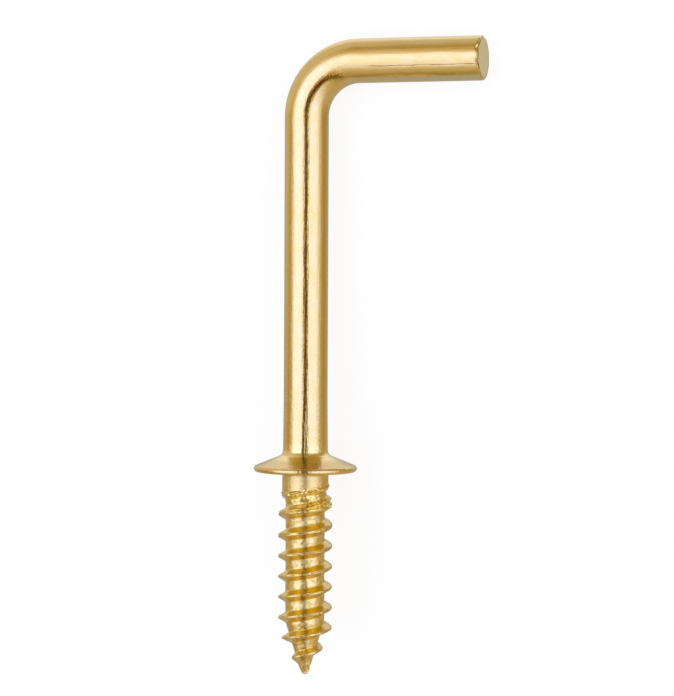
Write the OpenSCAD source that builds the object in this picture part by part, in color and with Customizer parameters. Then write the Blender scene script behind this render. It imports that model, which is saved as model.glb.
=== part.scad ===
// L-shaped screw hook: one length of round wire, upset into a flanged collar, rolled with a
// wood-screw thread below the collar, and bent square above it into a straight arm.
// Heights are counted up the screw axis from the collar's seat. The pieces are put together
// upright about the centre of the bend, with the arm along +X, and the hook is then laid on the
// ground, where it rests on the arm and on the collar's rim.

/* [Wire and arm] */
// Diameter of the drawn wire
wire_d = 3.5; // [3:0.05:4]
// From the shank's axis to the arm's end face
arm_reach = 14.46; // [10:0.02:24]
// Radius of the bend, along the middle of the wire
bend_r = 4.35; // [3.5:0.05:6]
// From the collar's seat to the top of the arm
hook_height = 34.33; // [22:0.01:60]
// Bevel round the arm's sheared end
end_bevel = 0.1; // [0.04:0.02:0.4]

/* [Collar] */
// Diameter of the collar
collar_d = 8.23; // [7.2:0.01:11]
// Thickness of the collar at its rounded rim
rim_thickness = 0.52; // [0.3:0.02:1]
// Slope of the collar's upper face
collar_slope = 22.4; // [10:0.2:30]
// Diameter of the shank where it enters the collar, swollen by the upsetting
shank_foot_d = 3.58; // [3.5:0.02:4.2]
// Length of shank over which that swelling runs out
swelling_length = 4.3; // [1:0.1:10]
// Fillet between the collar's upper face and the shank
top_fillet = 0.5; // [0.2:0.05:1]
// Fillet between the collar's seat and the neck
seat_fillet = 0.36; // [0.1:0.02:0.6]

/* [Screw] */
// From the collar's seat to the tip of the point
screw_length = 16.25; // [10:0.05:30]
// Diameter of the plain neck under the collar
neck_d = 3.69; // [3.5:0.01:4]
// Length of the plain neck
neck_length = 1.2; // [0.6:0.1:4]
// Diameter over the thread's crests
thread_d = 4.36; // [4.1:0.02:5.2]
// Diameter of the core between the threads
core_d = 3.11; // [2.6:0.01:3.4]
// Rise of the right-hand thread in one turn
pitch = 1.64; // [1.2:0.02:2.2]
// Angle of each flank of the thread
flank_angle = 29; // [20:1:40]
// Width of the rounded crest, between its shoulders
crest_width = 0.2; // [0.08:0.02:0.4]
// Share of the thread's height that the crest's rounding takes
crest_round = 0.12; // [0.05:0.01:0.3]
// Width of the curved foot between a flank and the core
foot_width = 0.12; // [0.04:0.02:0.2]
// Length over which the thread rises to its full height below the neck
runout_length = 2.0; // [0.5:0.1:5]
// Length over which the rolled core narrows from the neck
core_runout_length = 1.0; // [0.4:0.1:4]
// How far the thread's first crest stands out of the neck
first_crest_height = 0.06; // [0:0.01:0.2]
// How far up the neck that crest runs out
crest_runout_length = 0.4; // [0.1:0.05:1]
// Depth below the seat of a crest on the arm's side, which sets where the thread starts
crest_depth = 1.1; // [0:0.05:2.2]

/* [Point] */
// Length of the tapered point
point_length = 4.2; // [3:0.1:8]
// Length over which the crests close in towards the tip
crest_taper_length = 3.65; // [2:0.05:7]
// Height above the tip of the thread's last crest
last_crest_height = 1.45; // [1:0.05:1.9]
// Diameter over that crest
last_crest_d = 2.4; // [1.8:0.05:3]
// Length of the bare tip below the thread's end
bare_tip_length = 0.65; // [0.5:0.05:0.9]
// Length of the blunted nose of the tip
nose_length = 0.4; // [0.2:0.05:0.45]
// Diameter where the nose begins
nose_d = 0.88; // [0.5:0.02:1]
// Diameter of the flat at the very tip
tip_d = 0.3; // [0.1:0.02:0.5]

/* [Hidden] */

$fn = 96;
arc_steps = 8;
turn_steps = 40;
// the rolled core is this much smaller than the neck that it grows out of
roll_step = 0.03;
// the thread reaches this far up inside the collar
thread_root_inside = 0.2;
brass = "#d9b45c";

wire_r = wire_d / 2;
neck_r = neck_d / 2;
core_r = core_d / 2;
tip_r = tip_d / 2;
nose_r = nose_d / 2;
last_crest_r = last_crest_d / 2;
thread_r = thread_d / 2;
collar_r = collar_d / 2;
foot_r = shank_foot_d / 2;
rim_r = rim_thickness / 2;
arm_axis_z = hook_height - wire_r;
bend_start_z = arm_axis_z - bend_r;

// ---- collar and shank outline, as [radius, height] points ----

// an arc about a centre, from one angle to another
function arc(centre, r, from, to) =
    [for (i = [0:arc_steps]) let (a = from + (to - from) * i / arc_steps)
        centre + r * [cos(a), sin(a)]];

rim_centre = [collar_r - rim_r, rim_r];
slope_normal = [sin(collar_slope), cos(collar_slope)];
slope_start = rim_centre + rim_r * slope_normal;
fillet_x = foot_r + top_fillet;
fillet_z = slope_start.y
    + (top_fillet - (fillet_x - slope_start.x) * slope_normal.x) / slope_normal.y;
swelling_top = fillet_z + swelling_length;

turned_outline = concat(
    [[0, -neck_length], [neck_r, -neck_length]],
    arc([neck_r + seat_fillet, -seat_fillet], seat_fillet, 180, 90),
    arc(rim_centre, rim_r, -90, 90 - collar_slope),
    arc([fillet_x, fillet_z], top_fillet, 270 - collar_slope, 180),
    [[wire_r, swelling_top], [wire_r, bend_start_z], [0, bend_start_z]]);

// shank, bend and arm are drawn from the bend's centre, so that their ends meet exactly
module turned_body() {
    translate([-bend_r, 0])
        rotate_extrude()
            polygon([for (p = turned_outline) p - [0, bend_start_z]]);
}

// ---- bend and arm ----

module bend() {
    rotate([90, 0, 180])
        rotate_extrude(angle = 90)
            translate([bend_r, 0])
                circle(wire_r);
}

module arm() {
    straight = arm_reach - bend_r - end_bevel;
    translate([0, 0, bend_r])
        rotate([0, 90, 0]) {
            cylinder(r = wire_r, h = straight);
            translate([0, 0, straight])
                cylinder(r1 = wire_r, r2 = wire_r - end_bevel, h = end_bevel);
        }
}

// ---- rolled thread ----

// radius of the core at a height: flat tip, nose, cone of the point, full core, neck
function core_at(z) = lookup(z, [
    [-screw_length, tip_r],
    [nose_length - screw_length, nose_r],
    [point_length - screw_length, core_r],
    [-neck_length - core_runout_length, core_r],
    [-neck_length, neck_r - roll_step]]);

// radius of the crests at a height, from the bare tip to where the first one runs out
thread_end_z = bare_tip_length - screw_length;
function crest_at(z) = lookup(z, [
    [thread_end_z, core_at(thread_end_z)],
    [last_crest_height - screw_length, last_crest_r],
    [crest_taper_length - screw_length, thread_r],
    [-neck_length - runout_length, thread_r],
    [-neck_length, neck_r + first_crest_height],
    [crest_runout_length - neck_length, neck_r - roll_step]]);

function thread_at(z) = max(0, crest_at(z) - core_at(z));

// half of the thread's form, as [height from the crest's middle, share of the thread's height]
function flank_form(height) =
    let (shoulder = crest_width / 2,
         flank = shoulder + (1 - crest_round) * height * tan(flank_angle),
         foot_share = foot_width / (flank - shoulder + foot_width) / 2,
         knee = flank - foot_share * (flank - shoulder))
    [[0, 1], [shoulder, 1 - crest_round], [knee, foot_share], [flank + foot_width, 0]];

turns_below = ceil((screw_length - crest_depth) / pitch) + 1;
turns_above = ceil((crest_depth + thread_root_inside) / pitch) + 1;
last_row = (turns_below + turns_above) * turn_steps;
form_count = 2 * len(flank_form(thread_r - core_r)) - 1;

function row_z(row) = -crest_depth + pitch * (row / turn_steps - turns_below);

// from a crest up to the underside of the next one, as [height, radius], each flank as high as
// the crest that it belongs to
function turn_outline(z) =
    let (low = thread_at(z), high = thread_at(z + pitch),
         above = flank_form(low), below = flank_form(high))
    [for (p = concat(
        [for (f = above) [z + f.x, f.y * low]],
        [for (i = [len(below) - 1:-1:1]) [z + pitch - below[i].x, below[i].y * high]]))
        [p.x, core_at(p.x) + p.y]];

function thread_row(row) =
    let (a = 360 * row / turn_steps)
    [for (p = turn_outline(row_z(row))) [p.y * cos(a), p.y * sin(a), p.x]];

// the thread in rows along the helix, each row joined to the one a turn above it
module endless_thread() {
    rows = last_row - turn_steps;
    points = concat(
        [for (row = [0:last_row]) each thread_row(row)],
        [[0, 0, row_z(0)], [0, 0, row_z(last_row)]]);
    bottom = len(points) - 2;
    top = len(points) - 1;
    function at(row, k) = k < form_count ? row * form_count + k
        : (row + turn_steps) * form_count + k - form_count;
    sides = [for (row = [0:rows - 1], k = [0:form_count - 1]) each [
        [at(row, k), at(row, k + 1), at(row + 1, k)],
        [at(row + 1, k), at(row, k + 1), at(row + 1, k + 1)]]];
    lower_end = concat(
        [for (row = [0:turn_steps - 1]) [bottom, at(row, 0), at(row + 1, 0)]],
        [for (k = [0:form_count - 1]) [bottom, at(0, k + 1), at(0, k)]]);
    upper_end = concat(
        [for (row = [rows:last_row - 1]) [top, at(row + 1, 0), at(row, 0)]],
        [for (k = [0:form_count - 1]) [top, at(rows, k), at(rows, k + 1)]]);
    polyhedron(points, concat(sides, lower_end, upper_end));
}

module thread() {
    intersection() {
        endless_thread();
        translate([0, 0, -screw_length])
            cylinder(r = thread_d, h = screw_length + thread_root_inside);
    }
}

// ---- the hook, upright and laid down ----

// the origin is the centre of the bend
module hook_upright() {
    turned_body();
    bend();
    arm();
    translate([-bend_r, 0, -bend_start_z])
        thread();
}

// lying on the arm and on the rounded rim, the shank climbs towards the collar by this angle
rim_span = [arm_axis_z - rim_r, collar_r - rim_r];
rest_tilt = atan2(rim_span.y, rim_span.x) - asin((wire_r - rim_r) / norm(rim_span));
tip_y = (arm_axis_z + screw_length) * cos(rest_tilt) + tip_r * sin(rest_tilt);

module screw_hook() {
    color(brass)
        translate([(collar_r - arm_reach) / 2, (tip_y - wire_r) / 2, wire_r])
            rotate([-90 - rest_tilt, 0, 0])
                translate([bend_r, 0, -bend_r])
                    hook_upright();
}

screw_hook();
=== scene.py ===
import math

import bmesh
import bpy
from mathutils import Matrix, Vector, noise


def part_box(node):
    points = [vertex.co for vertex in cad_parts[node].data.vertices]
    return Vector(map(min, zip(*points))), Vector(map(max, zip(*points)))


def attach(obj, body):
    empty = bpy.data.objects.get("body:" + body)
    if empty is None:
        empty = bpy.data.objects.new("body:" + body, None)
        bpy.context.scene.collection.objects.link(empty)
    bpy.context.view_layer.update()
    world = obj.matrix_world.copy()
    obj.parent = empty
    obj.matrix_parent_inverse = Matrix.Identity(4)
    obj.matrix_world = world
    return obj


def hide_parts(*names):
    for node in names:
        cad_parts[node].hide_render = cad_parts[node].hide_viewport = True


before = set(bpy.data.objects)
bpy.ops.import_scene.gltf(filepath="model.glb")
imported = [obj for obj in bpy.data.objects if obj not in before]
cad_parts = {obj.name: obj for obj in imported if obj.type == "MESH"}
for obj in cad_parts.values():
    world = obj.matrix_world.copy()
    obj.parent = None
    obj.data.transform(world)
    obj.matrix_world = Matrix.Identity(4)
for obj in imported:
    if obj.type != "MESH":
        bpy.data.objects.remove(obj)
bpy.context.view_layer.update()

# The hook is modelled upright in millimetres, with its screw axis on Z, the collar's seat at
# zero and the arm along +X. At the end it is laid down and brought to metres.
hookLow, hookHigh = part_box("screw_hook")
millimetre = 0.001

around = 144                     # vertices round the wire, and steps in one turn of the thread
rightSide = math.radians(18)     # the way that the right side of the front faces


def editOnly(piece):
    bpy.ops.object.select_all(action="DESELECT")
    piece.select_set(True)
    bpy.context.view_layer.objects.active = piece
    bpy.ops.object.mode_set(mode="EDIT")
    bpy.ops.mesh.select_mode(type="VERT")


def leaveEdit():
    bpy.ops.object.mode_set(mode="OBJECT")


def pickRim(piece, test):
    # selects the open rim whose place passes the test
    bpy.ops.mesh.select_mode(type="EDGE")
    bpy.ops.mesh.select_all(action="DESELECT")
    shape = bmesh.from_edit_mesh(piece.data)
    for edge in shape.edges:
        edge.select_set(edge.is_boundary and all(test(v.co) for v in edge.verts))
    bmesh.update_edit_mesh(piece.data)


def table(x, points):
    # a value read off a table of [place, value] pairs, rising in place
    if x <= points[0][0]:
        return points[0][1]
    for (x0, y0), (x1, y1) in zip(points, points[1:]):
        if x <= x1:
            return y0 + (y1 - y0) * (x - x0) / (x1 - x0)
    return points[-1][1]


def between(low, high, share):
    return low + (high - low) * share


def softStep(x, low, high):
    t = min(max((x - low) / (high - low), 0), 1)
    return t * t * (3 - 2 * t)


def smoothLow(a, b, rounding):
    # the lower of two values, rounded where they meet
    near = max(rounding - abs(a - b), 0) / rounding
    return min(a, b) - near * near * rounding / 4


def bump(x, middle, width):
    return math.exp(-((x - middle) / width) ** 2)


# Heights on the screw are over the seat, so they are below zero.
screw = dict(
    length=16.25, pitch=1.64, crestDepth=1.1, crestR=2.18, coreR=1.555, neckR=1.845,
    turnsAbove=2,                # turns wound above the crest that sets the start
    cutHeight=-0.36,             # where the collar's fillet takes over from the neck
    tipStub=0.05,                # the tip is cut this far up, and drawn out again
    pinch=0.1, pinched=(-15.9, -15.1),      # share by which the tip is flattened, and where
    crestWave=0.02, coreWave=(0.013, 0.012), coreWaveLoss=0.5,      # unevenness of the rolling
)
coreTable = [(-16.25, 0.08), (-16.2, 0.14), (-16.08, 0.21), (-15.9, 0.3), (-15.45, 0.5),
             (-12.05, 1.545), (-11.85, 1.555), (-2.5, 1.56), (-1.9, 1.68)]
crestTable = [(-16.2, 0.12), (-15.9, 0.3), (-15.65, 0.41), (-15.2, 0.68), (-14.8, 1.2),
              (-13.99, 1.5), (-13.21, 1.92), (-12.5, 2.17), (-4.2, 2.18), (-3.37, 2.15),
              (-2.45, 2.09), (-1.7, 1.89), (-1.15, 1.96), (-0.6, 1.845)]
# the first turn starts a little off the even helix: how far up the crest lies there
startShift = [(-4.3, 0), (-3.48, 0.11), (-2.66, 0.25), (-1.84, 0.14), (-1.02, -0.13)]
# how far from a crest's middle the outline has its vertices
crestRows = [0, 0.03, 0.06, 0.09, 0.12, 0.155, 0.19, 0.23, 0.27, 0.31, 0.35, 0.4, 0.45, 0.5,
             0.57, 0.65, 0.73, 0.82]
# the thread is sharp at the point, and bluntest on the right side of the upper turns
crestForm = dict(
    sharp=0.05, blunt=0.13,              # half width of a sharp crest, and what bluntness adds
    split=0.2,                           # how much the rolling spreads the first turn's crest
    splitFrom=(-3.5, -2.5), splitTo=(-2.2, -1.7),
    tanFlank=0.6, flankLoss=0.25,        # slope of the flanks, and its loss on a blunt crest
    rounding=0.16, bluntRounding=0.3, footRounding=0.2,
    upperTurns=(-10.5, -3), leftShare=0.3, lowShare=0.25, upperLeftShare=0.4,
    sharpBelow=-13.6, sharpest=0.1,
    drawn=0.3,                           # bluntness of the outline that is wound up
)
# the seam that rolling leaves along a blunt crest
seam = dict(
    depth=0.11, lowShare=0.45, even=0.75, uneven=1.5, splitDepth=0.06,
    width=0.04, splitWidth=0.03, offCentre=0.03, wander=0.06, crestHeight=(0.2, 0.5),
)
# torn metal where the rolling began: where it starts round the screw, its ridges and flakes
tearing = dict(
    depth=0.18, start=-2.6, lean=0.45, below=0.3, above=0.15, inset=0.1, onCore=0.35,
    ridge=0.55, ridgeSlope=3.2, ridgeFloor=-0.6, ridgeShare=0.5,
    flakeSlope=1.6, flakeFloor=0.3, flakeShare=0.55,
)
# the uneven ledge where the smooth neck ends
ledge = dict(height=-1.32, lean=0.29, ragged=0.08, below=0.1, above=0.06, shiftFade=0.7)
# scales of the noises on the screw; the last two are drawn out along the helix
noiseScale = dict(grain=1.6, fine=3.3, streak=(1.1, 3.4), flake=(2.1, 3.2))
noiseStart = dict(fine=7, flake=20)


def threadShare(w, blunt, split=0):
    # the thread's form: share of its full height at w from the crest's middle
    half = crestForm["sharp"] + crestForm["blunt"] * blunt + crestForm["split"] * split
    height = screw["crestR"] - screw["coreR"]
    flank = height * crestForm["tanFlank"] * (1 - crestForm["flankLoss"] * blunt)
    slope = 1 - (abs(w) - half) / flank
    top = smoothLow(slope, 1, crestForm["rounding"] + crestForm["bluntRounding"] * blunt)
    return -smoothLow(-top, 0, crestForm["footRounding"])


def bluntness(crestZ, rightward, upper):
    if crestZ <= crestForm["sharpBelow"]:
        return crestForm["sharpest"]
    facing = 0.5 + 0.5 * rightward
    return (between(crestForm["leftShare"], 1, facing) * between(crestForm["lowShare"], 1, upper)
            + crestForm["upperLeftShare"] * upper * (1 - facing))


def shiftAt(crestZ, w):
    # blended with the next turn's, so that the core between two crests has no step
    toNext = abs(w) / screw["pitch"]
    nextCrest = crestZ + math.copysign(screw["pitch"], w)
    return table(crestZ, startShift) * (1 - toNext) + table(nextCrest, startShift) * toNext


def screwNoises(radius, angle, z, rightward):
    place = Vector((radius * math.cos(angle), radius * math.sin(angle), z))
    lean = z - screw["pitch"] / (2 * math.pi) * rightward
    streakAcross, streakAlong = noiseScale["streak"]
    flakeAcross, flakeAlong = noiseScale["flake"]
    return (noise.noise(place * noiseScale["grain"]),
            noise.noise(place * noiseScale["fine"] + Vector((0, 0, noiseStart["fine"]))),
            noise.noise(Vector((place.x * streakAcross, place.y * streakAcross,
                                lean * streakAlong))),
            noise.noise(Vector((place.x * flakeAcross, place.y * flakeAcross,
                                lean * flakeAlong + noiseStart["flake"]))))


def seamDepth(w, upper, split, grain):
    # deeper on the upper turns, it comes and goes
    depth = (seam["depth"] * between(seam["lowShare"], 1, upper)
             * (seam["even"] + seam["uneven"] * grain) + seam["splitDepth"] * split)
    width = seam["width"] + seam["splitWidth"] * split
    return max(depth, 0) * bump(w, seam["offCentre"] + seam["wander"] * grain, width)


def tornHeight(z, rightward, streak, flake):
    start = tearing["start"] - tearing["lean"] * rightward
    amount = softStep(z, start - tearing["below"], start + tearing["above"])
    ridges = max(tearing["ridge"] - abs(streak) * tearing["ridgeSlope"], tearing["ridgeFloor"])
    flakes = abs(flake) * tearing["flakeSlope"] - tearing["flakeFloor"]
    return (amount * (tearing["ridgeShare"] * ridges + tearing["flakeShare"] * flakes
                      - tearing["inset"]) * tearing["depth"])


def screwPoint(angle, z, w):
    # where a vertex of the screw lies, from its angle, its height and its height over the crest
    crestZ = z - w
    shift = shiftAt(crestZ, w)
    core = table(z + shift, coreTable)
    crest = table(crestZ, crestTable)
    rightward = math.cos(angle - rightSide)
    upper = softStep(crestZ, *crestForm["upperTurns"])
    split = (softStep(crestZ, *crestForm["splitFrom"])
             * (1 - softStep(crestZ, *crestForm["splitTo"])))
    share = threadShare(w, bluntness(crestZ, rightward, upper), split)
    radius = core + (crest - core) * share
    grain, fine, streak, flake = screwNoises(radius, angle, z, rightward)
    radius -= seamDepth(w, upper, split, grain) * softStep(crest - core, *seam["crestHeight"])
    radius += tornHeight(z, rightward, streak, flake) * between(tearing["onCore"], 1, share)
    fineWave, grainWave = screw["coreWave"]
    radius += (screw["crestWave"] * grain * share
               + (fineWave * fine + grainWave * grain) * (1 - screw["coreWaveLoss"] * share))
    # the tip is pinched flatter from two sides
    pinched = 1 - softStep(z, *screw["pinched"])
    radius *= 1 + screw["pinch"] * pinched * math.cos(2 * (angle - rightSide))
    # the smooth neck above the first turn
    edge = ledge["height"] + ledge["lean"] * rightward + ledge["ragged"] * flake
    neck = softStep(z, edge - ledge["below"], edge + ledge["above"])
    shift *= 1 - softStep(z, edge - ledge["shiftFade"], edge)
    radius = radius * (1 - neck) + screw["neckR"] * neck
    return Vector((radius * math.cos(angle), radius * math.sin(angle), z + shift))


# distances under which vertices are merged, in millimetres
weld = dict(wind=0.001, turns=0.002, cut=0.00001, neck=0.02, body=0.0002)
rimMargin = 0.01                 # how near to a cut its rim is looked for


def windThread(turns, firstCrest):
    # one pitch of the outline, drawn point by point and wound up
    rows = [-w for w in reversed(crestRows)] + crestRows[1:]
    height = screw["crestR"] - screw["coreR"]
    outline = [(screw["coreR"] + height * threadShare(w, crestForm["drawn"]), w) for w in rows]
    bpy.ops.mesh.primitive_plane_add(size=1, location=(0, 0, 0))
    piece = bpy.context.object
    piece.name = "screw_hook_brass"
    editOnly(piece)
    bpy.ops.mesh.select_all(action="SELECT")
    bpy.ops.mesh.merge(type="CENTER")
    bpy.ops.transform.translate(value=(outline[0][0], 0, firstCrest + outline[0][1]))
    for (r0, z0), (r1, z1) in zip(outline, outline[1:]):
        bpy.ops.mesh.extrude_region_move(
            TRANSFORM_OT_translate={"value": (r1 - r0, 0, z1 - z0)})
    leaveEdit()
    wind = piece.modifiers.new("wind", "SCREW")
    wind.axis = "Z"
    wind.angle = 2 * math.pi
    wind.screw_offset = screw["pitch"]
    wind.iterations = turns
    wind.steps = around
    wind.render_steps = around
    wind.use_merge_vertices = True
    wind.merge_threshold = weld["wind"]
    bpy.ops.object.modifier_apply(modifier="wind")
    editOnly(piece)
    bpy.ops.mesh.select_all(action="SELECT")
    bpy.ops.mesh.remove_doubles(threshold=weld["turns"])
    leaveEdit()
    return piece


def shapeThread(piece, firstCrest):
    # every vertex takes its place on the worn, run-out and pointed thread
    pitch = screw["pitch"]
    for v in piece.data.vertices:
        angle = math.atan2(v.co.y, v.co.x)
        firstHere = firstCrest + pitch * angle / (2 * math.pi)
        turn = round((v.co.z - firstHere) / pitch)
        v.co = screwPoint(angle, v.co.z, v.co.z - firstHere - turn * pitch)


def cutOff(height, way):
    bpy.ops.mesh.select_all(action="SELECT")
    bpy.ops.mesh.bisect(plane_co=(0, 0, height), plane_no=(0, 0, way),
                        clear_outer=True, threshold=weld["cut"])


def overCut(co):
    return co.z > screw["cutHeight"] - rimMargin


def makeScrew():
    turnsDown = math.ceil((screw["length"] - screw["crestDepth"]) / screw["pitch"]) + 1
    firstCrest = -screw["crestDepth"] - turnsDown * screw["pitch"]
    piece = windThread(turnsDown + screw["turnsAbove"], firstCrest)
    shapeThread(piece, firstCrest)
    editOnly(piece)
    tipCut = -screw["length"] + screw["tipStub"]
    cutOff(screw["cutHeight"], 1)
    cutOff(tipCut, -1)
    pickRim(piece, lambda co: co.z < tipCut + rimMargin)
    bpy.ops.mesh.extrude_region_move(
        TRANSFORM_OT_translate={"value": (0, 0, -screw["tipStub"])})
    bpy.ops.mesh.merge(type="CENTER")
    # vertices that the cut left close together are joined, so that the rings above it are even
    pickRim(piece, overCut)
    bpy.ops.mesh.remove_doubles(threshold=weld["neck"])
    print("screw:", len(piece.data.vertices))
    return piece


# sizes in millimetres, and how many steps each stretch is drawn in
body = dict(
    wireR=1.75, armReach=14.46, bendR=4.35, height=34.33, bevel=0.1,
    collarR=4.115, rimR=0.26, slope=math.radians(22.4),
    footR=1.79, swelling=4.3, topFillet=0.5, seatFillet=0.36,
    seatSteps=8, underSteps=6, rimSteps=14, coneSteps=14, topSteps=10,
    shankSteps=90, bendSteps=44, armSteps=40, bevelSteps=4,
    faceRings=(0.93, 0.85, 0.75, 0.64, 0.52, 0.4, 0.28, 0.16, 0.07),    # shares of the radius
    crease=math.radians(50),     # edges sharper than this aren't shaded smooth
)


def arcPoints(cx, cz, r, start, end, steps):
    return [(cx + r * math.cos(start + (end - start) * i / steps),
             cz + r * math.sin(start + (end - start) * i / steps)) for i in range(1, steps + 1)]


def linePoints(start, end, steps):
    return [(start[0] + (end[0] - start[0]) * i / steps,
             start[1] + (end[1] - start[1]) * i / steps) for i in range(1, steps + 1)]


def bendHeight():
    return body["height"] - body["wireR"] - body["bendR"]


def turnedOutline():
    # from the neck round the collar and up the shank, as [radius, height] points
    slope, rim, topFillet, seatFillet = (body[name] for name in
                                         ("slope", "rimR", "topFillet", "seatFillet"))
    rimX = body["collarR"] - rim
    slopeX, slopeZ = rimX + rim * math.sin(slope), rim + rim * math.cos(slope)
    filletX = body["footR"] + topFillet
    filletZ = slopeZ + (topFillet - (filletX - slopeX) * math.sin(slope)) / math.cos(slope)
    quarter = math.pi / 2
    seat = arcPoints(screw["neckR"] + seatFillet, -seatFillet, seatFillet, math.pi, quarter,
                     body["seatSteps"])
    under = [(x, 0) for x, z in linePoints(seat[-1], (rimX, 0), body["underSteps"])]
    rimArc = arcPoints(rimX, rim, rim, -quarter, quarter - slope, body["rimSteps"])
    coneTop = (filletX - topFillet * math.sin(slope), filletZ - topFillet * math.cos(slope))
    cone = linePoints((slopeX, slopeZ), coneTop, body["coneSteps"])
    fillet = arcPoints(filletX, filletZ, topFillet, 3 * quarter - slope, math.pi,
                       body["topSteps"])
    shank = []
    for i in range(1, body["shankSteps"] + 1):
        z = filletZ + (bendHeight() - filletZ) * i / body["shankSteps"]
        swell = max(0, 1 - (z - filletZ) / body["swelling"])
        shank.append((body["wireR"] + (body["footR"] - body["wireR"]) * swell, z))
    return seat + under + rimArc + cone + fillet + shank


def growCollarAndShank():
    r, z = screw["neckR"], screw["cutHeight"]
    for r1, z1 in turnedOutline():
        bpy.ops.mesh.extrude_region_move(TRANSFORM_OT_translate={"value": (0, 0, z1 - z)})
        bpy.ops.transform.resize(value=(r1 / r, r1 / r, 1), center_override=(0, 0, z1))
        r, z = r1, z1
    return z


def closeArm():
    # the rounded edge of the sheared end, then rings that close its face
    middle = (body["armReach"], 0, body["height"] - body["wireR"])
    bevel, steps = body["bevel"], body["bevelSteps"]
    r = body["wireR"]
    for i in range(1, steps + 1):
        turn, before = math.pi / 2 * i / steps, math.pi / 2 * (i - 1) / steps
        go = bevel * (math.sin(turn) - math.sin(before))
        r1 = body["wireR"] - bevel * (1 - math.cos(turn))
        bpy.ops.mesh.extrude_region_move(TRANSFORM_OT_translate={"value": (go, 0, 0)})
        bpy.ops.transform.resize(value=(1, r1 / r, r1 / r), center_override=middle)
        r = r1
    for share in body["faceRings"]:
        r1 = body["wireR"] * share
        bpy.ops.mesh.extrude_region_move()
        bpy.ops.transform.resize(value=(1, r1 / r, r1 / r), center_override=middle)
        r = r1
    bpy.ops.mesh.extrude_region_move()
    bpy.ops.mesh.merge(type="CENTER")


def growBody(piece):
    pickRim(piece, overCut)
    z = growCollarAndShank()
    print("collar and shank:", len(bmesh.from_edit_mesh(piece.data).verts))
    bpy.ops.mesh.spin(steps=body["bendSteps"], angle=math.pi / 2,
                      center=(body["bendR"], 0, z), axis=(0, -1, 0))
    straight = (body["armReach"] - body["bendR"] - body["bevel"]) / body["armSteps"]
    for i in range(body["armSteps"]):
        bpy.ops.mesh.extrude_region_move(TRANSFORM_OT_translate={"value": (straight, 0, 0)})
    closeArm()
    bpy.ops.mesh.select_all(action="SELECT")
    bpy.ops.mesh.remove_doubles(threshold=weld["body"])
    bpy.ops.mesh.normals_make_consistent(inside=False)
    leaveEdit()


def armStart():
    # how far along the wire the bend ends
    return bendHeight() + body["bendR"] * math.pi / 2


def wireLength():
    return armStart() + body["armReach"] - body["bendR"]


def wirePlace(co):
    # a point of the hook on the wire as it was before bending: towards the bend, across, along
    bendZ, bendR = bendHeight(), body["bendR"]
    if co.z <= bendZ and co.x < bendR:
        return co.x, co.y, co.z
    if co.x >= bendR:
        return bendZ + bendR - co.z, co.y, armStart() + co.x - bendR
    dx, dz = bendR - co.x, co.z - bendZ
    return bendR - math.hypot(dx, dz), co.y, bendZ + bendR * math.atan2(dz, dx)


# the sheared end: how far in from it each kind of wear reaches, and how deep it goes
shearedEnd = dict(
    faceReach=0.02, faceScale=0.8, facePlane=3, faceDepth=0.07,
    rimReach=0.25, rimStart=0.84, rimWidth=0.16, rimDepth=0.1,
    nickReach=0.4,
    # place across and up the face, size and depth
    nicks=[(-1.7, 0.75, 0.28, 0.22), (-1.6, -0.35, 0.2, 0.12), (0.5, 1.75, 0.3, 0.1)],
)


def wearEnd(piece):
    wireR, reach = body["wireR"], body["armReach"]
    scale = shearedEnd["faceScale"]
    for v in piece.data.vertices:
        y, z = v.co.y, v.co.z - (body["height"] - wireR)
        if v.co.x > reach - shearedEnd["faceReach"]:
            rough = noise.noise(Vector((y * scale, z * scale, shearedEnd["facePlane"])))
            v.co.x -= shearedEnd["faceDepth"] * (rough * 0.5 + 0.5)
        if v.co.x > reach - shearedEnd["rimReach"]:
            # rolled over towards the front by the blade
            over = (max(math.hypot(y, z) / wireR - shearedEnd["rimStart"], 0)
                    / shearedEnd["rimWidth"])
            v.co.x -= shearedEnd["rimDepth"] * over ** 2 * (0.5 - 0.5 * y / wireR)
        if v.co.x > reach - shearedEnd["nickReach"]:
            for nickY, nickZ, size, depth in shearedEnd["nicks"]:
                v.co.x -= depth * math.exp(-((y - nickY) ** 2 + (z - nickZ) ** 2) / size ** 2)


def wireAttributes(piece):
    # where each point lies on the straight wire, and on the rolled helix, for the finish
    straight = piece.data.attributes.new("straightWire", "FLOAT_VECTOR", "POINT")
    helix = piece.data.attributes.new("rolledHelix", "FLOAT_VECTOR", "POINT")
    for i, v in enumerate(piece.data.vertices):
        straight.data[i].vector = wirePlace(v.co)
        phase = (2 * math.pi * (v.co.z + screw["crestDepth"]) / screw["pitch"]
                 - math.atan2(v.co.y, v.co.x))
        helix.data[i].vector = (math.cos(phase), math.sin(phase), v.co.z / screw["pitch"])


def layDown(piece):
    # turned onto the arm and the collar's rim, then fitted to the frame's box, in metres
    wireR, rimR = body["wireR"], body["rimR"]
    span = (body["height"] - wireR - rimR, body["collarR"] - rimR)
    tilt = math.atan2(span[1], span[0]) - math.asin((wireR - rimR) / math.hypot(*span))
    turn = Matrix.Rotation(-math.pi / 2 - tilt, 4, "X")
    piece.data.transform(Matrix.Scale(millimetre, 4) @ turn)
    low = Vector([min(v.co[i] for v in piece.data.vertices) for i in range(3)])
    high = Vector([max(v.co[i] for v in piece.data.vertices) for i in range(3)])
    shift = ((hookLow.x + hookHigh.x - low.x - high.x) / 2,
             (hookLow.y + hookHigh.y - low.y - high.y) / 2, hookLow.z - low.z)
    piece.data.transform(Matrix.Translation(shift))
    return tilt


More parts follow.
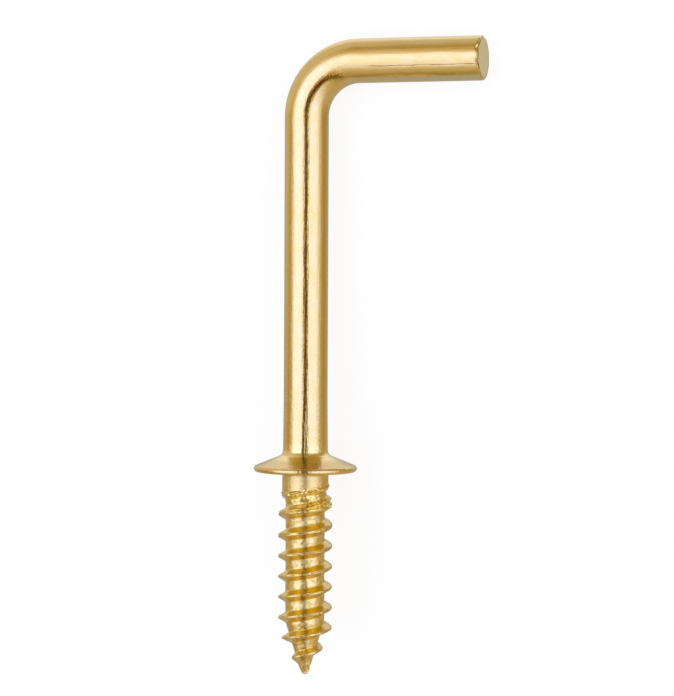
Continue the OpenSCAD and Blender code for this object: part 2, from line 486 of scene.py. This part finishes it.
class Maths:
    def __init__(self, tree):
        self.tree = tree

    def node(self, kind, inputs=None, out=0, **settings):
        made = self.tree.nodes.new("ShaderNode" + kind)
        for name, value in settings.items():
            setattr(made, name, value)
        for key, value in (inputs or {}).items():
            socket = made.inputs[key]
            if isinstance(value, Value):
                self.tree.links.new(value.socket, socket)
            else:
                socket.default_value = value
        return Value(self, made.outputs[out]) if made.outputs else None

    def blend(self, amount, low, high):
        return self.node("Mix", {0: amount, 6: low, 7: high}, out=2, data_type="RGBA")

    def part(self, vector, axis):
        return self.node("SeparateXYZ", {"Vector": vector}, out=axis)

    def grain(self, vector, stretch, detail, roughness, offset=(0, 0, 0)):
        placed = self.node("Mapping", {"Vector": vector, "Scale": stretch, "Location": offset})
        return self.node("TexNoise", {"Vector": placed, "Scale": 1.0, "Detail": detail,
                                      "Roughness": roughness})


class Value:
    def __init__(self, maths, socket):
        self.maths = maths
        self.socket = socket

    def act(self, operation, *others):
        return self.maths.node("Math", dict(enumerate((self,) + others)), operation=operation)

    def __add__(self, other):
        return self.act("ADD", other)

    def __radd__(self, other):
        return self.act("ADD", other)

    def __mul__(self, other):
        return self.act("MULTIPLY", other)

    def __rmul__(self, other):
        return self.act("MULTIPLY", other)

    def __sub__(self, other):
        return self.act("SUBTRACT", other)

    def __rsub__(self, other):
        return self.maths.node("Math", {0: other, 1: self}, operation="SUBTRACT")

    def __truediv__(self, other):
        return self.act("DIVIDE", other)

    def step(self, low, high):
        return self.maths.node("MapRange", {"Value": self, "From Min": low, "From Max": high},
                               interpolation_type="SMOOTHSTEP")

    def away(self, middle):
        return self.act("SUBTRACT", middle).act("ABSOLUTE")


def emptyNodes(owner):
    # of a material or of the world
    owner.use_nodes = True
    owner.node_tree.nodes.clear()
    return Maths(owner.node_tree)


# colours of the plating, of what is left on it, and of light and shade painted on it
brass = dict(
    pale=(0.85, 0.65, 0.34, 1), warm=(0.84, 0.60, 0.23, 1), brownMark=(0.55, 0.34, 0.09, 1),
    screw=(0.93, 0.72, 0.35, 1), root=(0.90, 0.66, 0.25, 1), paintedSideShade=(0.72, 0.54, 0.31, 1),
    collar=(0.70, 0.51, 0.26, 1), foot=(0.97, 0.78, 0.40, 1), centre=(0.60, 0.53, 0.10, 1),
    orange=(0.72, 0.42, 0.10, 1), rust=(0.34, 0.19, 0.05, 1), brownStainAndShade=(0.66, 0.27, 0.01, 1),
    paintedInterreflection=(0.83, 0.60, 0.045, 1), sheared=(1, 0.89, 0.66, 1), neck=(0.86, 0.62, 0.26, 1),
    paintedHighlightTint=(0.84, 0.575, 0.22, 1), olive=(0.78, 0.66, 0.39, 1), torn=(0.93, 0.72, 0.22, 1),
)
# stretch, detail and roughness of each noise, and where it begins
grains = dict(
    drawn=((4, 4, 0.25), 3, 0.55), fine=((12, 12, 9), 3, 0.6),
    patches=((0.9, 0.9, 0.35), 5, 0.6), blotches=((2.2, 2.2, 1.1), 4, 0.6, (3, 1, 7)),
    mottle=((3.4, 3.4, 3.4), 2.5, 0.55), pits=((9, 9, 7), 3, 0.7),
    brushed=((1.2, 1.2, 9), 3, 0.6), ripple=((3, 3, 6.5), 1, 0.5),
    jag=((0.1, 0.1, 5), 3, 0.7), wander=((0.1, 0.1, 1.3), 3, 0.55),
)
rolledGrain = ((3.2, 3.2, 0.8), 5, 0.6)
# marks that follow a noise: which one, the levels between which they set in, the share that is
# there without it, and the share that it adds
spots = dict(
    warmPatches=("patches", 0.4, 0.68, 0, 0.6), warmBlotches=("blotches", 0.48, 0.7, 0, 0.45),
    specks=("pits", 0.62, 0.67, 0, 0.6), speckPatches=("patches", 0.42, 0.6, 0, 1),
    base=("mottle", 0.5, 0.64, 0, 0.6), rust=("pits", 0.66, 0.71, 0, 1),
    rolled=("mottle", 0.42, 0.62, 0, 1), rootMark=("mottle", 0.54, 0.62, 0, 0.5),
    paintedShadeLine=("mottle", 0.45, 0.6, 0.25, 0.6), armStain=("blotches", 0.42, 0.6, 0, 0.3),
    paintedHighlightTint=("blotches", 0.4, 0.6, 0.4, 0.6), olive=("blotches", 0.38, 0.58, 0.15, 0.45),
    bendStainAndShade=("pits", 0.4, 0.58, 0.55, 0.45), lap=("blotches", 0.4, 0.6, 0.2, 0.6),
    burrAndEdgeShade=("blotches", 0.35, 0.5, 0, 0.9),
)
# edges along the wire at which the finish changes, in millimetres over the seat
edges = dict(
    tip=(-15.5, -14.9), lastFlank=(-15.0, -13.9), firstFlank=(-4.2, -3.6),
    tornLow=(-3.0, -2.5), tornHigh=(-1.5, -1.2), paintedShadeLine=(-2.6, -2.0),
    screwTop=(-1.9, -1.2), rolledTop=(-0.7, -0.1), neckTop=(-0.4, 0.0),
    collarLow=(-0.3, 0.05), slope=(0.35, 0.6), collarHigh=(1.7, 2.6),
    baseLow=(1.0, 1.5), baseHigh=(2.6, 5.0), crackLow=(1.2, 1.5), crackHigh=(4.0, 7.0),
    rippled=(4, 18),
)
# how far the torn metal's lower and upper edges lean round the screw
tornLean = (0.22, -0.15)
# shares of inward and across in the way to the right side of the front
rightShares = (0.953, 0.304)
frontEdge = (-0.5, 0.1)          # across the wire, between its front and its back
endEdge = (-0.3, -0.2)           # counted from the wire's end
armEdges = dict(paintedHighlightTint=(-4, 0), lap=(-0.5, 1.5), smooth=(-3, 1))      # and from the arm's start


class Wire:
    # where a point lies on the wire and the helix, the part that it belongs to, and the noises
    def __init__(self, m):
        straight = m.node("Attribute", attribute_name="straightWire", out="Vector")
        helix = m.node("Attribute", attribute_name="rolledHelix", out="Vector")
        self.inward, self.across, self.along = [m.part(straight, axis) for axis in "XYZ"]
        self.onCrest, self.above = [m.part(helix, axis) for axis in "XY"]
        self.noise = {name: m.grain(straight, *look) for name, look in grains.items()}
        self.noise["rolled"] = m.grain(helix, *rolledGrain)
        self.sideways = self.inward * rightShares[0] + self.across * rightShares[1]
        self.radius = (self.inward * self.inward + self.across * self.across).act("SQRT")
        self.isFront = 1 - self.across.step(*frontEdge)
        self.isScrew = 1 - self.past("screwTop")
        self.isNeck = self.stretch("screwTop", "neckTop")
        self.isCollar = self.stretch("collarLow", "collarHigh")
        self.isBase = self.stretch("baseLow", "baseHigh")
        self.isTorn = ((self.along + tornLean[0] * self.sideways).step(*edges["tornLow"])
                       * (1 - (self.along + tornLean[1] * self.sideways)
                          .step(*edges["tornHigh"])))
        self.atEnd = self.pastPlace(wireLength(), endEdge)

    def past(self, name):
        return self.along.step(*edges[name])

    def pastPlace(self, place, edge):
        return self.along.step(place + edge[0], place + edge[1])

    def pastArm(self, name):
        return self.pastPlace(armStart(), armEdges[name])

    def stretch(self, low, high):
        return self.past(low) * (1 - self.past(high))

    def spots(self, name):
        source, low, high, even, spotted = spots[name]
        return self.noise[source].step(low, high) * spotted + even


collarLook = dict(
    darkFrom=(2.2, 3.0), darkEven=0.45, darkMottled=0.6,
    footTo=(2.4, 3.1), footShare=0.8,
    centrePlace=-0.2, centreWidth=(0.5, 1.4), centreFrom=(2.0, 2.4), centreTo=(3.0, 3.7),
    centreShare=0.75, baseRust=0.5,
)


def plateColour(m, at):
    # plating that is warmer in some places, with painted shade round the collar's top and on its
    # middle front, a painted highlight round the shank's foot, and brown in specks
    look = collarLook
    warmth = at.spots("warmPatches") + at.spots("warmBlotches")
    colour = m.blend(warmth, brass["pale"], brass["warm"])
    onTop = at.isCollar * at.past("slope")
    # painted shade: the outer part of the collar's top takes a darker, mottled copy of the
    # plating
    paintedCollarShade = onTop * at.radius.step(*look["darkFrom"])
    colour = m.blend(paintedCollarShade * (look["darkEven"] + look["darkMottled"] * at.noise["mottle"]),
                     colour, brass["collar"])
    # painted highlight: a brighter copy of the plating round the foot of the shank on the
    # collar's top
    foot = onTop * (1 - at.radius.step(*look["footTo"]))
    colour = m.blend(foot * look["footShare"], colour, brass["foot"])
    # painted shade: a darker olive patch on the middle front of the collar's top, where the dark
    # gap in front of it reflects
    centre = (onTop * (1 - at.sideways.away(look["centrePlace"]).step(*look["centreWidth"]))
              * at.isFront * at.radius.step(*look["centreFrom"])
              * (1 - at.radius.step(*look["centreTo"])))
    colour = m.blend(centre * look["centreShare"], colour, brass["centre"])
    colour = m.blend(at.isBase * at.spots("base"), colour, brass["root"])
    rust = at.spots("rust") * (at.isBase * look["baseRust"] + at.isCollar)
    colour = m.blend(rust, colour, brass["rust"])
    rolled = m.blend(at.spots("rolled"), brass["screw"], brass["root"])
    colour = m.blend(1 - at.past("rolledTop"), colour, rolled)
    return m.blend(at.spots("specks") * at.spots("speckPatches"), colour, brass["brownMark"])


armLook = dict(
    stainInward=(0.55, 0.9), stainMiddle=-0.4, stainLength=(-3.2, -0.8),
    frontPlace=-0.17, rosyWidth=(0.35, 0.8), oliveWidth=(0.7, 1.3), oliveEdges=(-3, -3),
)


def armColour(m, at, colour):
    look = armLook
    # the low side of the arm is stained near its middle
    middle = (armStart() + wireLength()) / 2 + look["stainMiddle"]
    brownMark = (at.inward.step(*look["stainInward"]) * at.isFront
             * (0 - at.along.away(middle)).step(*look["stainLength"])
             * at.spots("armStain"))
    colour = m.blend(brownMark, colour, brass["orange"])
    # the arm is rosier along its front, a warm tint painted on its highlight band, and greener
    # on either side of that towards its end
    offFront = at.inward.away(look["frontPlace"])
    paintedHighlightTint = (1 - offFront.step(*look["rosyWidth"])) * at.isFront * at.pastArm("paintedHighlightTint")
    colour = m.blend(paintedHighlightTint * at.spots("paintedHighlightTint"), colour, brass["paintedHighlightTint"])
    start, end = look["oliveEdges"]
    olive = (offFront.step(*look["oliveWidth"]) * at.isFront
             * at.along.step(armStart() + start, wireLength() + end))
    return m.blend(olive * at.spots("olive"), colour, brass["olive"])


threadLook = dict(
    slimBelow=-12, slimming=0.2, slimmest=0.3,      # the point is slimmer than the rest
    flankLow=(-0.6, 0.15), flankHigh=(0.8, 0.97),   # how near the crest a flank is
    above=(-0.3, 0.3), underShare=0.5, inward=(-1.6, 0.8), outerShare=0.7,
    wide=(1.2, 1.6), wideLoss=0.9, firstLoss=0.6,
    rightLobe=(1.35, 1.75), leftLobe=(1.5, 2.0), leftShare=0.4, lobeShare=0.8,
    core=(-0.6, -0.1), crest=(0.7, 0.95),
    tornShare=0.5, neckShare=0.6,
    linePlace=0.02, lineWander=0.3, lineWidth=(0.05, 0.4),
)


def threadFlank(at):
    # the flanks of the thread, which take a painted deeper gold of light reflected between them,
    # most of all on their upper side, and the place across the screw
    look = threadLook
    slim = ((at.along - look["slimBelow"]) * look["slimming"]).act("MINIMUM", 0) + 1
    wide = at.sideways / slim.act("MAXIMUM", look["slimmest"])
    flank = (at.onCrest.step(*look["flankLow"]) * (1 - at.onCrest.step(*look["flankHigh"]))
             * at.isScrew)
    under, outer = look["underShare"], look["outerShare"]
    flank = (flank * (under + (1 - under) * at.above.step(*look["above"]))
             * (outer + (1 - outer) * at.inward.step(*look["inward"]))
             * (1 - look["wideLoss"] * wide.act("ABSOLUTE").step(*look["wide"]))
             * at.past("lastFlank") * (1 - look["firstLoss"] * at.past("firstFlank")))
    return flank, wide


def threadColour(m, at, colour, flank, wide):
    look = threadLook
    # painted shade: the screw is darker towards its left and right edges as seen from the front
    paintedSideShade = at.isScrew * (wide.step(*look["rightLobe"])
                         + (0 - wide).step(*look["leftLobe"]) * look["leftShare"])
    colour = m.blend(paintedSideShade * look["lobeShare"], colour, brass["paintedSideShade"])
    # painted reflection: the flanks take the deeper gold of light bouncing between them
    colour = m.blend(flank, colour, brass["paintedInterreflection"])
    rootMark = (((1 - at.onCrest.step(*look["core"])) + at.onCrest.step(*look["crest"]))
                * at.isScrew * at.spots("rootMark"))
    colour = m.blend(rootMark, colour, brass["brownMark"])
    colour = m.blend(at.isTorn * look["tornShare"], colour, brass["torn"])
    colour = m.blend(at.isNeck * (1 - at.isTorn) * look["neckShare"], colour, brass["neck"])
    # the front line of neck and screw is browner: painted shade along the dark reflection that
    # runs down their front
    line = ((1 - (at.sideways + at.noise["mottle"] * look["lineWander"])
             .away(look["linePlace"]).step(*look["lineWidth"]))
            * at.isFront * (1 - at.past("paintedShadeLine")) * (1 - at.isTorn))
    return m.blend(line * at.spots("paintedShadeLine"), colour, brass["brownMark"])


bendLook = dict(
    place=0.58, brushing=0.6, shift=-0.3, width=(0.05, 0.27), length=(1.2, 3.2), share=0.9,
)


def bendColour(m, at, colour):
    # brown left on the inner side of the bend, brushed across the wire; laid along the dark
    # reflection there, it is partly painted shade
    look = bendLook
    middle = armStart() - body["bendR"] * math.pi / 4
    brownStainAndShade = ((1 - (at.inward + at.noise["brushed"] * look["brushing"] + look["shift"])
              .away(look["place"]).step(*look["width"]))
             * at.isFront * (1 - at.along.away(middle).step(*look["length"])))
    return m.blend(brownStainAndShade * at.spots("bendStainAndShade") * look["share"], colour, brass["brownStainAndShade"])


crackLook = dict(place=-0.03, jag=0.25, mottling=0.1, leanFrom=4.0, lean=0.03,
                 width=(0.03, 0.14))


def crackMark(at):
    # a jagged crack that runs up the shank from the collar
    look = crackLook
    jag = (at.noise["jag"] - 0.5) * look["jag"]
    course = (at.sideways + jag + at.noise["mottle"] * look["mottling"]
              - (at.along - look["leanFrom"]) * look["lean"])
    return ((1 - course.away(look["place"]).step(*look["width"])) * at.isFront
            * at.stretch("crackLow", "crackHigh"))


lapLook = dict(place=0.6, wander=0.16, width=(0.015, 0.06))


def lapMark(at):
    # a lap in the wire, a fine line along the arm
    look = lapLook
    course = at.inward + (at.noise["wander"] - 0.5) * look["wander"]
    return ((1 - course.away(look["place"]).step(*look["width"])) * at.isFront
            * at.pastArm("lap"))


faceLook = dict(edge=(1.5, 1.58), burrRadius=1.56, burrWidth=(0.02, 0.07))
roughness = dict(shank=0.085, drawn=0.03, drawnGrain=(0.4, 0.7), screw=0.21, neck=0.25,
                 collar=0.08, tip=0.1, torn=-0.12, face=0.5)
# height of each noise in the relief of each part, and the relief's depth in metres
relief = dict(
    drawn=0.5, fine=0.16, fineOnArm=-0.12, mottle=0.12,
    ripple=0.3, rippleBelow=0.25, rippleOnArm=-0.2,
    rolled=0.4, screwMottle=1.5, screwPits=0.15, flankLoss=0.7,
    neck=0.9, collar=0.3, collarPits=0.1, base=0.5, lap=-0.3, crack=-0.5, faceFine=0.6,
    strength=0.5, distance=0.00006,
)


def plateRoughness(at, isFace):
    look = roughness
    rough = (look["shank"] + look["drawn"] * at.noise["drawn"].step(*look["drawnGrain"])
             + look["screw"] * at.isScrew + look["neck"] * at.isNeck
             + look["collar"] * at.isCollar + look["tip"] * (1 - at.past("tip"))
             + look["torn"] * at.isTorn)
    return rough * (1 - isFace) + isFace * look["face"]


def plateHeight(at, isFace, flank, lap, crack):
    look, noises = relief, at.noise
    mottle, fine, pits = noises["mottle"], noises["fine"], noises["pits"]
    # the arm is smoother than the shank, and the shank's foot is the least smooth
    onArm = at.pastArm("smooth")
    ripple = (look["ripple"] + look["rippleBelow"] * (1 - at.past("rippled"))
              + look["rippleOnArm"] * onArm)
    onWire = (noises["drawn"] * look["drawn"] + mottle * look["mottle"]
              + fine * (look["fine"] + look["fineOnArm"] * onArm) + noises["ripple"] * ripple)
    onScrew = (noises["rolled"] * look["rolled"] + mottle * look["screwMottle"]
               + pits * look["screwPits"])
    return (onWire * (1 - at.isScrew)
            + onScrew * at.isScrew * (1 - look["flankLoss"] * flank)
            + at.isNeck * mottle * look["neck"]
            + at.isCollar * (mottle * look["collar"] + pits * look["collarPits"])
            + at.isBase * mottle * look["base"] + lap * look["lap"] + crack * look["crack"]
            + isFace * (mottle + fine * look["faceFine"]))


def brassFinish():
    finish = bpy.data.materials.new("brass plate")
    m = emptyNodes(finish)
    at = Wire(m)
    flank, wide = threadFlank(at)
    crack, lap = crackMark(at), lapMark(at)
    isFace = at.atEnd * (1 - at.radius.step(*faceLook["edge"]))
    # partly a burr and partly painted shade: rust colour round the near edge of the sheared face
    burrAndEdgeShade = ((1 - at.radius.away(faceLook["burrRadius"]).step(*faceLook["burrWidth"]))
            * at.atEnd * at.isFront * at.spots("burrAndEdgeShade"))
    colour = armColour(m, at, plateColour(m, at))
    colour = threadColour(m, at, colour, flank, wide)
    colour = bendColour(m, at, colour)
    colour = m.blend(crack, colour, brass["rust"])
    colour = m.blend(lap * at.spots("lap"), colour, brass["rust"])
    colour = m.blend(isFace, colour, brass["sheared"])
    colour = m.blend(burrAndEdgeShade, colour, brass["rust"])
    bumps = m.node("Bump", {"Strength": relief["strength"], "Distance": relief["distance"],
                            "Height": plateHeight(at, isFace, flank, lap, crack)})
    surface = m.node("BsdfPrincipled", {
        "Base Color": colour, "Metallic": 1.0, "Roughness": plateRoughness(at, isFace),
        "Normal": bumps})
    m.node("OutputMaterial", {"Surface": surface})
    return finish


# distances in millimetres, to the aim and from the seat to it, and turns from straight in front
camera = dict(
    lens=124.14, sensor=36, clip=(0.01, 20), distance=191.565, right=2.483, up=9.861,
    yaw=math.radians(17.716), elevation=math.radians(1.735), roll=math.radians(0.266),
)


def hookAxes(tilt):
    # along the arm, out of the front and up the screw, as the hook lies
    front = Vector((0, math.sin(tilt), math.cos(tilt)))
    screwUp = Vector((0, math.cos(tilt), -math.sin(tilt)))
    return Vector((1, 0, 0)), front, screwUp


def cameraAxes(tilt):
    armWay, front, screwUp = hookAxes(tilt)
    yaw, elevation = camera["yaw"], camera["elevation"]
    level = armWay * math.sin(yaw) + front * math.cos(yaw)
    back = level * math.cos(elevation) + screwUp * math.sin(elevation)
    right = armWay * math.cos(yaw) - front * math.sin(yaw)
    return back, right, back.cross(right)


def placeCamera(tilt):
    back, right, up = cameraAxes(tilt)
    screwUp = hookAxes(tilt)[2]
    # where the arm's axis would cross the shank's, and the seat below it
    corner = Vector((hookLow.x, hookHigh.y, hookLow.z)) + Vector(
        (body["collarR"], -body["wireR"], body["wireR"])) * millimetre
    seat = corner - screwUp * (body["height"] - body["wireR"]) * millimetre
    aim = seat + (right * camera["right"] + up * camera["up"]) * millimetre
    roll = camera["roll"]
    rolledRight = right * math.cos(roll) + up * math.sin(roll)
    rolledUp = up * math.cos(roll) - right * math.sin(roll)
    place = Matrix((rolledRight, rolledUp, back)).transposed().to_4x4()
    place.translation = aim + back * camera["distance"] * millimetre
    eye = bpy.data.objects.new("camera", bpy.data.cameras.new("camera"))
    bpy.context.scene.collection.objects.link(eye)
    eye.matrix_world = place
    eye.data.lens = camera["lens"]
    eye.data.sensor_width = camera["sensor"]
    eye.data.clip_start, eye.data.clip_end = camera["clip"]
    bpy.context.scene.camera = eye
    print("camera placed")


# most of the floor's tone is given to camera rays alone, so that it stays white
paper = dict(size=6, tone=(0.9, 0.9, 0.9, 1), white=(1, 1, 1, 1), glow=1.1, glowShare=0.78)


def layFloor():
    bpy.ops.mesh.primitive_plane_add(size=paper["size"], location=(0, 0, 0))
    floor = bpy.context.object
    floor.name = "floor"
    finish = bpy.data.materials.new("paper")
    m = emptyNodes(finish)
    plain = m.node("BsdfDiffuse", {"Color": paper["tone"]})
    white = m.node("Emission", {"Color": paper["white"], "Strength": paper["glow"]})
    isCamera = m.node("LightPath", out="Is Camera Ray")
    shown = m.node("MixShader", {0: isCamera * paper["glowShare"], 1: plain, 2: white})
    m.node("OutputMaterial", {"Surface": shown})
    floor.data.materials.append(finish)
    floor.visible_glossy = False
    print("floor laid")


# colours of the light, from the darkest of the surroundings to the brightest of the soft boxes
light = dict(
    gap=(0.12, 0.075, 0.012, 1), surround=(0.43, 0.33, 0.11, 1), lowGlow=(0.56, 0.47, 0.27, 1),
    backdrop=(0.47, 0.46, 0.42, 1), cornerGlow=(0.68, 0.62, 0.44, 1),
    upperBackdrop=(0.95, 0.93, 0.88, 1), halfLit=(0.71, 0.60, 0.38, 1),
    softBox=(1.2, 1.36, 1.85, 1), hotCore=(1.26, 1.48, 2.15, 1), camera=(1, 1, 1, 1),
)
# round glows: their way to the right, up and back, and the edges of their fall-off
glows = dict(
    cornerGlow=((-1, 1, -0.6), (0.62, 0.88)),       # what the outer side of the bend sees
    lowGlow=((1, -1, -0.35), (0.68, 0.95)),         # and what its inner side sees
    hotCore=((-1, 0.5, 1), (0.84, 0.98)),
)
# degrees across and up from the camera's direction, then shares of the way and of the light
studio = dict(
    gapMiddle=-2, gapEdges=(4.5, 19), gapDark=(3, 16),
    rightEdge=(44, 108), leftEdge=(56, 102), upperEdge=(-2, 73), lowerEdge=(-98, 8),
    behindRight=(110, 152), behindLeft=(112, 156),
    gapFront=(0, 0.2), upperBack=(0.3, 0.55), upperRise=(0.1, 0.6), upperRight=(-0.6, -0.25),
    halfLit=(0, 0.5), fullyLit=(0.35, 1), hotLit=(0.6, 1),
)


def studioShade(m, back, right, up):
    way = m.node("TexCoord", out="Generated")

    def towards(axis):
        return m.node("VectorMath", {0: way, 1: tuple(axis)}, out="Value",
                      operation="DOT_PRODUCT")

    def glow(name):
        (toRight, toUp, toBack), fall = glows[name]
        axis = right * toRight + up * toUp + back * toBack
        return towards(axis.normalized()).step(*fall)

    def past(value, name):
        return value.step(*studio[name])

    degree = 180 / math.pi
    front, high, sideways = towards(back), towards(up), towards(right)
    across = m.node("Math", {0: sideways, 1: front}, operation="ARCTAN2") * degree
    rise = high.act("ARCSINE") * degree
    offGap = across.away(studio["gapMiddle"])
    # a wide soft box on either side of a narrow dark gap, and a pale backdrop behind the hook
    box = (past(offGap, "gapEdges")
           * (1 - past(across, "rightEdge")) * (1 - past(0 - across, "leftEdge"))
           * (1 - past(rise, "upperEdge")) * past(rise, "lowerEdge"))
    gap = (1 - past(offGap, "gapDark")) * past(front, "gapFront")
    behind = past(across, "behindRight") + past(0 - across, "behindLeft")
    upper = past(0 - front, "upperBack") * past(high, "upperRise") * past(sideways, "upperRight")
    shade = m.blend(gap, light["surround"], light["gap"])
    shade = m.blend(behind, shade, light["backdrop"])
    shade = m.blend(glow("lowGlow"), shade, light["lowGlow"])
    shade = m.blend(glow("cornerGlow"), shade, light["cornerGlow"])
    shade = m.blend(upper, shade, light["upperBackdrop"])
    shade = m.blend(past(box, "halfLit"), shade, light["halfLit"])
    shade = m.blend(past(box, "fullyLit"), shade, light["softBox"])
    return m.blend(past(box, "hotLit") * glow("hotCore"), shade, light["hotCore"])


def lightStudio(tilt):
    world = bpy.data.worlds.new("studio")
    bpy.context.scene.world = world
    m = emptyNodes(world)
    isCamera = m.node("LightPath", out="Is Camera Ray")
    seen = m.blend(isCamera, studioShade(m, *cameraAxes(tilt)), light["camera"])
    shining = m.node("Background", {"Color": seen, "Strength": 1.0})
    m.node("OutputWorld", {"Surface": shining})
    print("studio lit")


def makeHook():
    piece = makeScrew()
    growBody(piece)
    wearEnd(piece)
    wireAttributes(piece)
    tilt = layDown(piece)
    bpy.ops.object.select_all(action="DESELECT")
    piece.select_set(True)
    bpy.context.view_layer.objects.active = piece
    bpy.ops.object.shade_smooth_by_angle(angle=body["crease"])
    piece.data.materials.clear()
    piece.data.materials.append(brassFinish())
    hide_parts("screw_hook")
    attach(piece, "root")
    print("hook:", len(piece.data.vertices), "vertices")
    return tilt


bpy.ops.object.select_all(action="DESELECT")
tilt = makeHook()
placeCamera(tilt)
layFloor()
lightStudio(tilt)
bpy.context.scene.view_settings.view_transform = "Standard"
